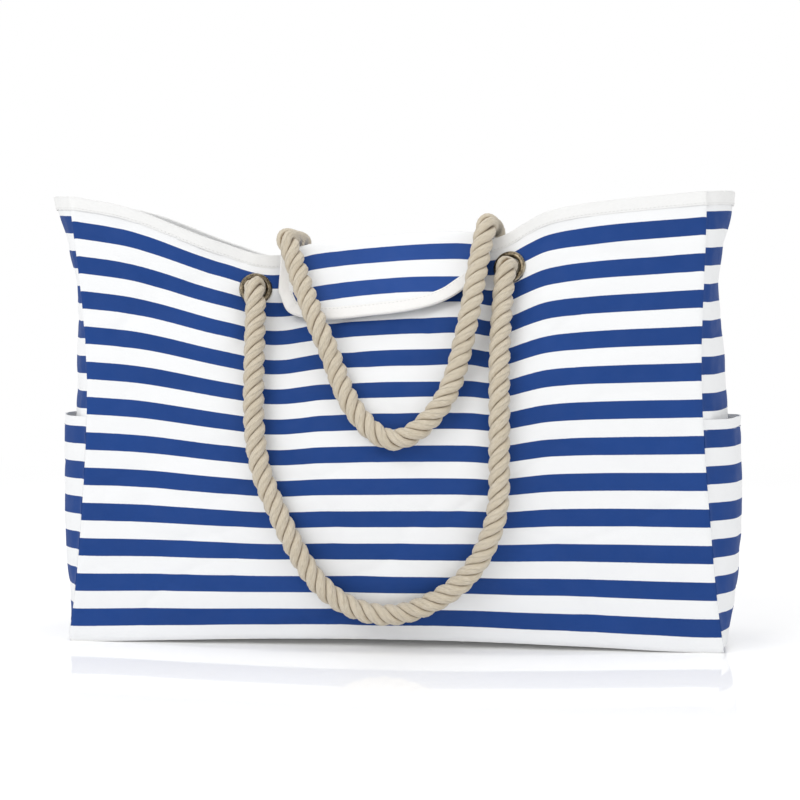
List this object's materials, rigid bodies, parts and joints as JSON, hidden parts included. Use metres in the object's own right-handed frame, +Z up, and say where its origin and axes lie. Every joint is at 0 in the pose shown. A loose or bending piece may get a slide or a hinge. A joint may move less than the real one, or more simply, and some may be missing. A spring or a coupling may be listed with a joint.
{
  "type": "beach bag",
  "caption": "Wide striped canvas tote with twisted rope handles through metal eyelets, side slip pockets, bound rim and a fold-over closing flap.",
  "frame": {"origin": "middle of the flat underside of the base, on the floor", "axes": "+X to the right seen from the front, +Y from the front panel to the back panel, +Z up"},
  "size_m": [0.6115, 0.2072, 0.3896],
  "materials": {
    "striped_canvas": "white woven canvas printed with even blue stripes, coated white reverse",
    "base_canvas": "plain white woven canvas",
    "binding_tape": "off-white woven binding tape, stitched",
    "cotton_rope": "natural three-strand twisted cotton, matte",
    "eyelet_metal": "antique bronze, dark, polished on the high edges",
    "snap_metal": "satin"
  },
  "bodies": {
    "bag": {"back_left_eyelet": "eyelet_metal", "back_left_knot": "cotton_rope", "back_left_washer": "eyelet_metal", "back_panel": "striped_canvas", "back_right_eyelet": "eyelet_metal", "back_right_knot": "cotton_rope", "back_right_washer": "eyelet_metal", "bottom_panel": "base_canvas", "flap_hem": "striped_canvas", "front_left_eyelet": "eyelet_metal", "front_left_knot": "cotton_rope", "front_left_washer": "eyelet_metal", "front_panel": "striped_canvas", "front_right_eyelet": "eyelet_metal", "front_right_knot": "cotton_rope", "front_right_washer": "eyelet_metal", "left_gusset": "striped_canvas", "left_pocket": "striped_canvas", "right_gusset": "striped_canvas", "right_pocket": "striped_canvas", "rim_tape": "binding_tape", "snap_socket": "snap_metal"},
    "front_handle": {"front_handle": "cotton_rope"},
    "back_handle_roots": {"back_handle_left_root": "cotton_rope", "back_handle_right_root": "cotton_rope"},
    "back_handle_spans": {"back_handle_left_span": "cotton_rope", "back_handle_right_span": "cotton_rope"},
    "back_handle_loop": {"back_handle_loop": "cotton_rope"},
    "flap_top": {"flap_top": "striped_canvas", "flap_top_left_tape": "binding_tape", "flap_top_right_tape": "binding_tape"},
    "flap_front": {"flap_front": "striped_canvas", "flap_front_tape": "binding_tape", "snap_stud": "snap_metal"}
  },
  "joints": [
    {"name": "front_handle_swing", "type": "hinge", "parent": "bag", "child": "front_handle", "pos_m": [-0.01105, -0.05328, 0.3161], "axis": [-0.9967, -0.0092, -0.0812], "range_deg": [0, 140]},
    {"name": "back_handle_lift", "type": "hinge", "parent": "back_handle_spans", "child": "back_handle_loop", "pos_m": [-0.007, -0.04632, 0.35708], "axis": [-0.9978, 0.0081, -0.0656], "range_deg": [0, 110]},
    {"name": "back_handle_root_swing", "type": "hinge", "parent": "bag", "child": "back_handle_roots", "pos_m": [-0.00772, 0.0513, 0.3148], "axis": [-0.9972, 0.0028, -0.0747], "range_deg": [0, 140.5]},
    {"name": "back_handle_span_lift", "type": "hinge", "parent": "back_handle_roots", "child": "back_handle_spans", "pos_m": [-0.007, 0.04632, 0.35708], "axis": [-0.9978, -0.0081, -0.0656], "range_deg": [0, 100.5]},
    {"name": "flap_open", "type": "hinge", "parent": "bag", "child": "flap_top", "pos_m": [-0.009, 0.0324, 0.34469], "axis": [-0.9978, -0.0017, -0.0659], "range_deg": [0, 160.5]},
    {"name": "flap_unfold", "type": "hinge", "parent": "flap_top", "child": "flap_front", "pos_m": [-0.009, -0.03363, 0.3445], "axis": [-0.9977, 0.0052, -0.0679], "range_deg": [0, 60.5]}
  ],
  "couplings": [
    {"joint": "back_handle_root_swing", "follows": "back_handle_lift", "ratio": 1.2727},
    {"joint": "back_handle_span_lift", "follows": "back_handle_lift", "ratio": 0.90909},
    {"joint": "flap_open", "follows": "back_handle_lift", "ratio": 1.4545},
    {"joint": "flap_unfold", "follows": "back_handle_lift", "ratio": 0.54546}
  ]
}
